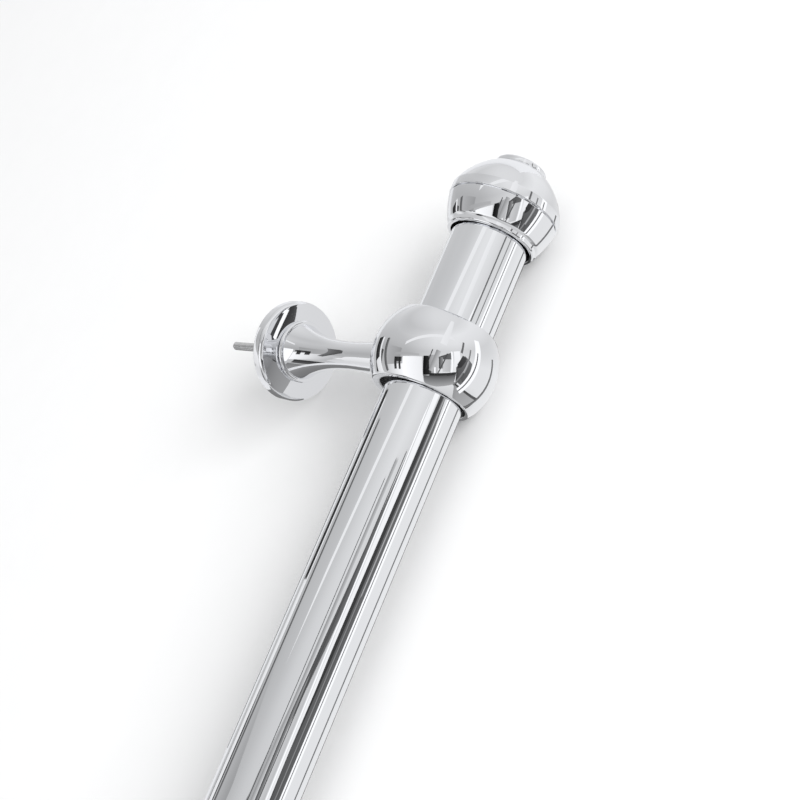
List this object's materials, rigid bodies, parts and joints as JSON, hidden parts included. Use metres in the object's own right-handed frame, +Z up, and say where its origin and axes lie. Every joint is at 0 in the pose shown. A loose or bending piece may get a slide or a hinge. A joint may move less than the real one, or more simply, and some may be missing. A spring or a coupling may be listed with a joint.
{
  "type": "pool handrail",
  "caption": "Horizontal wall handrail: a polished round tube with domed end caps, held in ball-shaped rings on slim bell-footed stems with round wall flanges.",
  "frame": {"origin": "centre of the right flange's back face, where it meets the wall", "axes": "+X along the rail to its right end, +Y into the wall, +Z up"},
  "size_m": [0.6038, 0.209, 0.068],
  "materials": {
    "tube_chrome": "mirror polished tube",
    "cast_chrome": "polished casting with bright plating",
    "black_nylon": "moulded black nylon",
    "steel": "plain stainless fasteners",
    "stud_steel": "rolled thread, slightly yellowish zinc"
  },
  "bodies": {
    "rail": {"rail_tube": "tube_chrome", "skirt_right": "cast_chrome", "dome_right": "cast_chrome", "crown_disc_right": "cast_chrome", "cap_screw_right": "steel", "tube_plug_right": "black_nylon", "skirt_left": "cast_chrome", "dome_left": "cast_chrome", "crown_disc_left": "cast_chrome", "cap_screw_left": "steel", "tube_plug_left": "black_nylon"},
    "slider_right": {"liner_right": "black_nylon"},
    "bracket_right": {"ring_right": "cast_chrome", "clamp_screw_right": "steel", "stem_right": "cast_chrome", "joining_stud_right": "steel", "wall_stud_right": "stud_steel"},
    "plate_right": {"flange_right": "cast_chrome"},
    "slider_left": {"liner_left": "black_nylon"},
    "bracket_left": {"ring_left": "cast_chrome", "clamp_screw_left": "steel", "stem_left": "cast_chrome", "joining_stud_left": "steel", "wall_stud_left": "stud_steel"},
    "plate_left": {"flange_left": "cast_chrome"}
  },
  "joints": [
    {"name": "slide_right", "type": "slide", "parent": "rail", "child": "slider_right", "axis": [1, 0, 0], "range_m": [-0.145, 0.05]},
    {"name": "turn_right", "type": "hinge", "parent": "slider_right", "child": "bracket_right", "pos_m": [0, -0.122, 0], "axis": [1, 0, 0], "continuous": true},
    {"name": "flange_turn_right", "type": "hinge", "parent": "bracket_right", "child": "plate_right", "pos_m": [0, 0, 0], "axis": [0, 1, 0], "continuous": true},
    {"name": "slide_left", "type": "slide", "parent": "rail", "child": "slider_left", "axis": [1, 0, 0], "range_m": [-0.05, 0.145]},
    {"name": "turn_left", "type": "hinge", "parent": "slider_left", "child": "bracket_left", "pos_m": [-0.36, -0.122, 0], "axis": [1, 0, 0], "continuous": true},
    {"name": "flange_turn_left", "type": "hinge", "parent": "bracket_left", "child": "plate_left", "pos_m": [-0.36, 0, 0], "axis": [0, 1, 0], "continuous": true}
  ]
}
